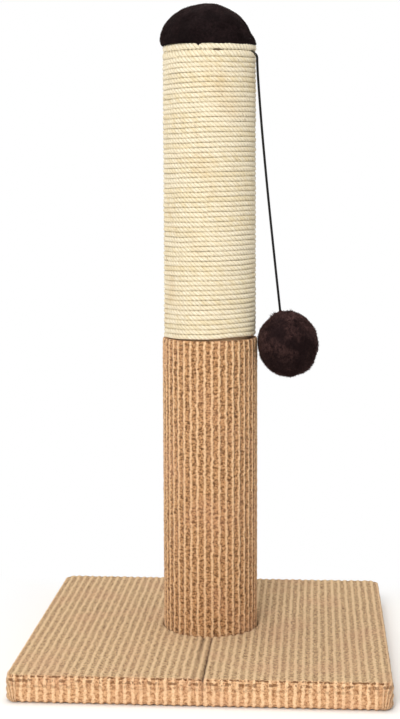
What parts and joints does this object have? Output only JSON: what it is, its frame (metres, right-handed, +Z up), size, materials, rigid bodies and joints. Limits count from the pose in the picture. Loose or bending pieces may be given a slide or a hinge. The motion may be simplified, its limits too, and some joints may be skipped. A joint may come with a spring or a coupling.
{
  "type": "cat scratching post",
  "caption": "Upright cat scratching post on a square carpeted base: carpet sleeve below, sisal winding above, plush cap, and a plush ball swinging on a cord.",
  "frame": {"origin": "on the floor, under the middle of the square base and of the post", "axes": "+Z up along the post; -Y to the front, where the base carpet is slit; +X to the side where the ball hangs"},
  "size_m": [0.3, 0.3, 0.5447],
  "materials": {
    "board": "fibreboard, bare",
    "carpet": "ribbed loop-pile carpet, beige",
    "staple_wire": "galvanised wire",
    "zinc_steel": "zinc plated",
    "tube_board": "wound grey-brown board",
    "plug_wood": "sawn softwood",
    "sisal": "laid natural sisal rope",
    "foam": "open-cell foam",
    "plush": "short-pile plush, very dark brown",
    "toy_cord": "thin round elastic cord, black",
    "filling": "loose polyester filling"
  },
  "bodies": {
    "post_and_base": {"base_board": "board", "base_cover": "carpet", "hem_staples": "staple_wire", "base_bolt": "zinc_steel", "base_washer": "zinc_steel", "t_nut": "zinc_steel", "post_tube": "tube_board", "foot_plug": "plug_wood", "foot_plug_staples": "staple_wire", "post_sleeve": "carpet", "sleeve_seam_staples": "staple_wire", "sisal_rope_top_turns": "sisal", "sisal_rope_lower_turns": "sisal", "top_plug": "plug_wood", "cap_foam": "foam", "cap_plush": "plush", "cap_rim_staples": "staple_wire", "cord_knot": "toy_cord", "cord_tail": "toy_cord"},
    "cord_bend": {"cord_bend": "toy_cord"},
    "cord_drop": {"cord_drop": "toy_cord"},
    "toy_ball": {"ball_plush": "plush", "ball_filling": "filling", "ball_knot": "toy_cord"}
  },
  "joints": [
    {"name": "toy_side_swing", "type": "hinge", "parent": "post_and_base", "child": "cord_bend", "pos_m": [0.03535, -0.00751, 0.5051], "axis": [0.9781, -0.2081, 0], "range_deg": [-80, 80]},
    {"name": "toy_out_swing", "type": "hinge", "parent": "cord_bend", "child": "cord_drop", "pos_m": [0.03975, -0.00837, 0.49955], "axis": [-0.0872, -0.9962, 0], "range_deg": [0, 85]},
    {"name": "ball_tilt", "type": "hinge", "parent": "cord_drop", "child": "toy_ball", "pos_m": [0.05903, -0.00516, 0.29271], "axis": [0.9962, -0.0872, 0], "range_deg": [-60, 60]}
  ]
}
